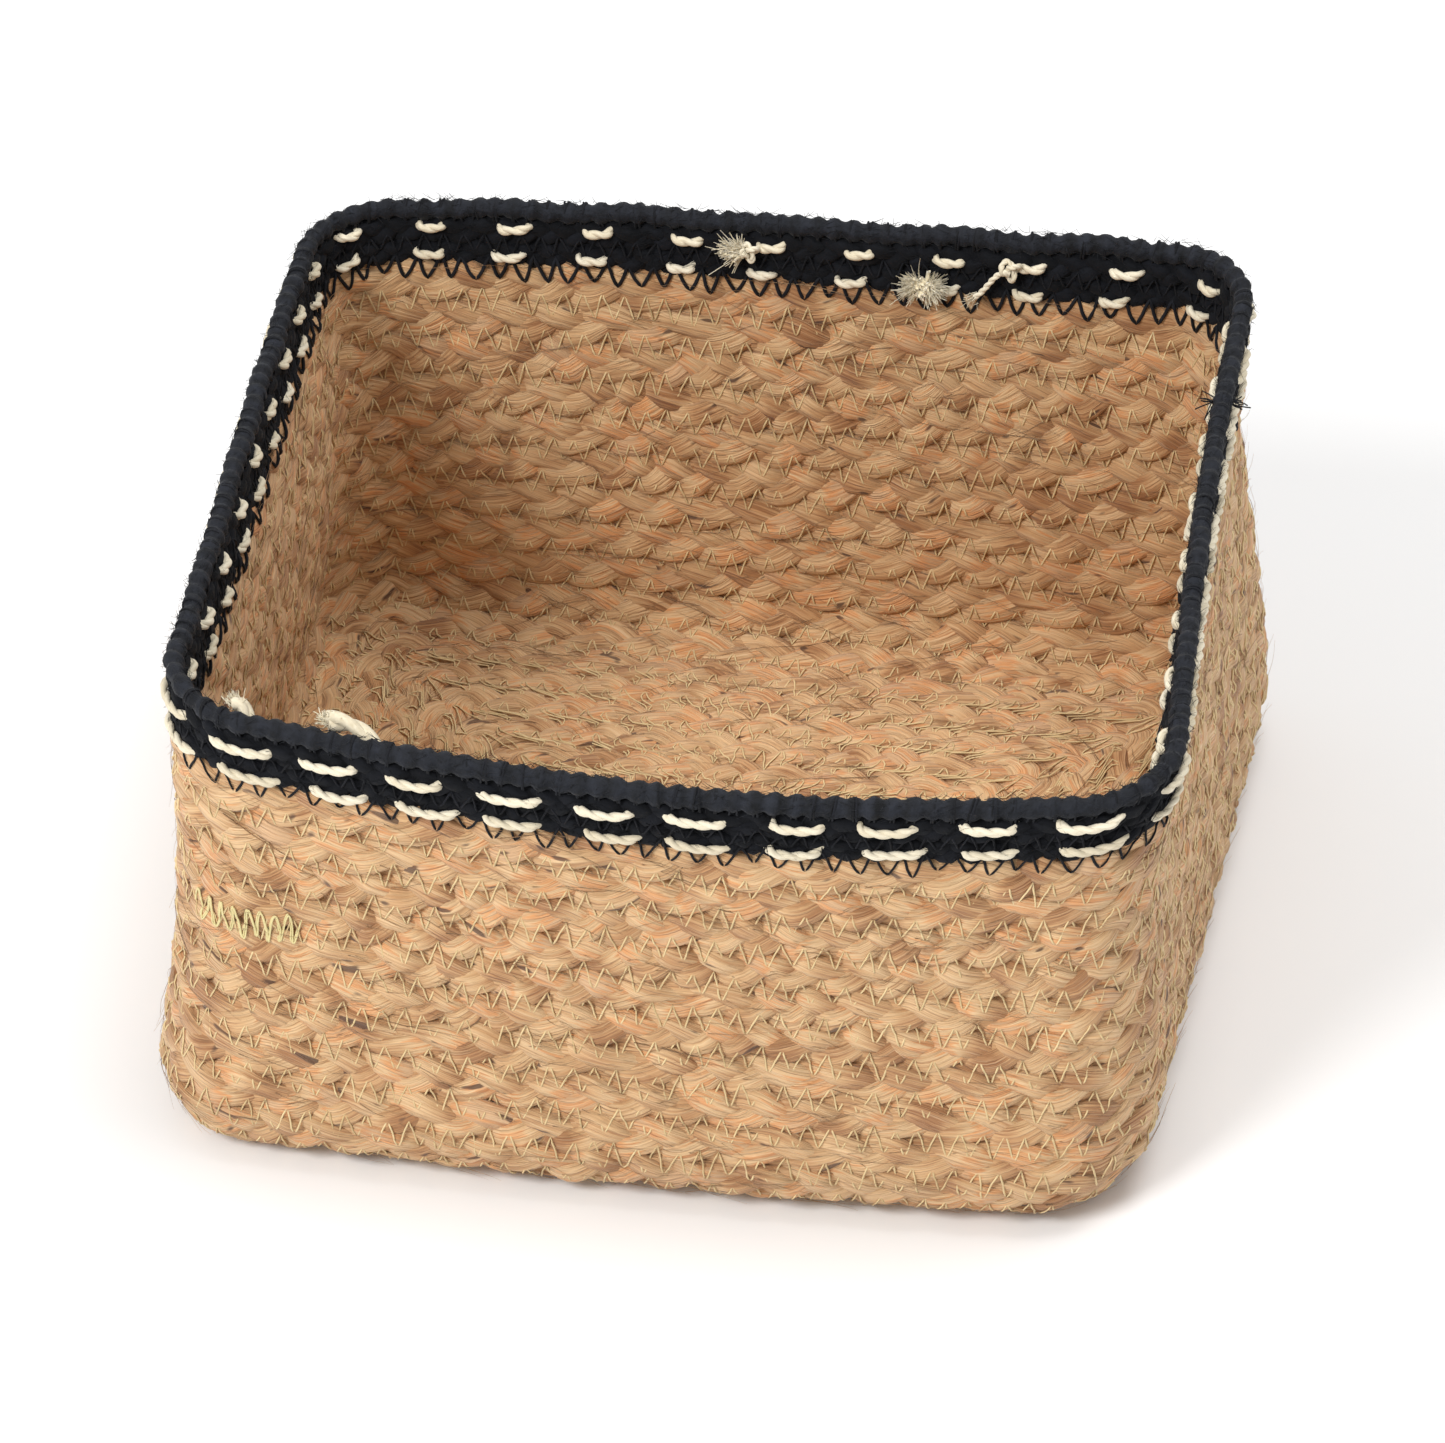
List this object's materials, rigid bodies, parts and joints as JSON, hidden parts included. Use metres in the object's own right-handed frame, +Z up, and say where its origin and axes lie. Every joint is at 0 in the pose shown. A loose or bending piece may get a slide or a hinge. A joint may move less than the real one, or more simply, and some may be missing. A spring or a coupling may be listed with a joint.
{
  "type": "storage basket",
  "caption": "Rectangular open basket coiled from flat jute braid, with zigzag seams, a black braided rim band, corded edge and cream running stitches.",
  "frame": {"origin": "centre of the underside, on the surface the basket stands on", "axes": "+Z up, +X along the longer side to the right, the front wall faces -Y"},
  "size_m": [0.3054, 0.2754, 0.162],
  "materials": {
    "jute_braid": "matte fibrous three-strand jute braid",
    "natural_thread": "thin straw-coloured sewing thread",
    "black_braid": "matte blue-black braid",
    "rim_cord": "matte slate-black cord",
    "black_thread": "black sewing thread",
    "cream_yarn": "soft cream two-ply yarn"
  },
  "bodies": {
    "root": {"cream_stitches_lower": "cream_yarn", "cream_stitches_upper": "cream_yarn", "floor_centre_strip": "jute_braid", "floor_course_01": "jute_braid", "floor_course_02": "jute_braid", "floor_course_03": "jute_braid", "floor_course_04": "jute_braid", "floor_course_05": "jute_braid", "floor_course_06": "jute_braid", "floor_course_07": "jute_braid", "floor_course_08": "jute_braid", "floor_course_09": "jute_braid", "floor_seam_01": "natural_thread", "floor_seam_02": "natural_thread", "floor_seam_03": "natural_thread", "floor_seam_04": "natural_thread", "floor_seam_05": "natural_thread", "floor_seam_06": "natural_thread", "floor_seam_07": "natural_thread", "floor_seam_08": "natural_thread", "floor_seam_09": "natural_thread", "rim_braid_lower": "black_braid", "rim_braid_seam": "black_thread", "rim_braid_upper": "black_braid", "rim_edge_cord": "rim_cord", "rim_join_seam": "black_thread", "rim_overcast_thread": "black_thread", "turn_up_seam": "natural_thread", "wall_course_01": "jute_braid", "wall_course_02": "jute_braid", "wall_course_03": "jute_braid", "wall_course_04": "jute_braid", "wall_course_05": "jute_braid", "wall_course_06": "jute_braid", "wall_course_07": "jute_braid", "wall_course_08": "jute_braid", "wall_course_09": "jute_braid", "wall_course_10": "jute_braid", "wall_course_11": "jute_braid", "wall_seam_01": "natural_thread", "wall_seam_02": "natural_thread", "wall_seam_03": "natural_thread", "wall_seam_04": "natural_thread", "wall_seam_05": "natural_thread", "wall_seam_06": "natural_thread", "wall_seam_07": "natural_thread", "wall_seam_08": "natural_thread", "wall_seam_09": "natural_thread", "wall_seam_10": "natural_thread", "yarn_knot_tied_end": "cream_yarn", "yarn_knot_with_tail": "cream_yarn", "yarn_tails_loose": "cream_yarn", "yarn_tuft_frayed": "cream_yarn"}
  },
  "joints": []
}
